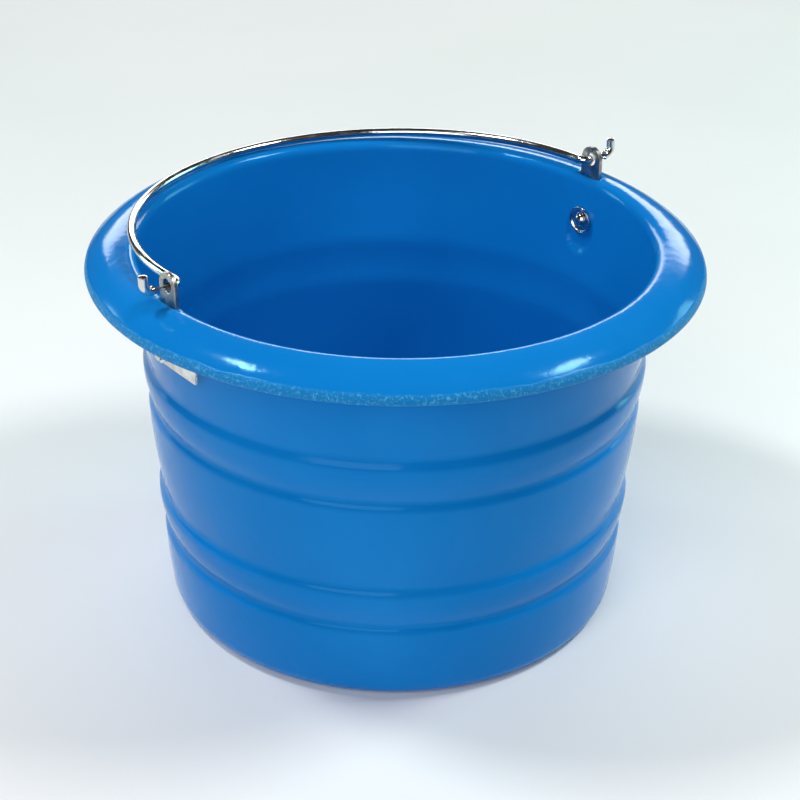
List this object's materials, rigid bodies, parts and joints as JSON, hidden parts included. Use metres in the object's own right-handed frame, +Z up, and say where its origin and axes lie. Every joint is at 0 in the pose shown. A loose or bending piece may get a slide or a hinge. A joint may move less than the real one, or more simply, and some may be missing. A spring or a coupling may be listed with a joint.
{
  "type": "feed bucket",
  "caption": "Round moulded feed bucket with a broad domed rim, grooved tapering wall and a hooked wire bail that swings in two steel eye straps.",
  "frame": {"origin": "centre of the flat underside, on the floor", "axes": "+Z up through the mouth, X along the line through the two bail eyes, +Y towards the side of the rim the bail lies on at rest"},
  "size_m": [0.4099, 0.41, 0.2856],
  "materials": {
    "tub_plastic": "glossy moulded polyethylene, scraped matt along the trimmed rim edge",
    "bail_wire": "bright zinc-plated round wire",
    "plated_strap": "zinc-plated flat steel",
    "bolt_steel": "bright plated steel"
  },
  "bodies": {
    "bucket": {"bucket_shell": "tub_plastic", "left_eye_strap": "plated_strap", "left_backing_plate": "plated_strap", "left_cup_washer": "bolt_steel", "left_bolt": "bolt_steel", "left_nut": "bolt_steel", "right_eye_strap": "plated_strap", "right_backing_plate": "plated_strap", "right_cup_washer": "bolt_steel", "right_bolt": "bolt_steel", "right_nut": "bolt_steel"},
    "bail": {"bail_handle": "bail_wire"}
  },
  "joints": [
    {"name": "bail_swing", "type": "hinge", "parent": "bucket", "child": "bail", "pos_m": [0, 0, 0.274], "axis": [1, 0, 0], "range_deg": [0, 174]}
  ]
}
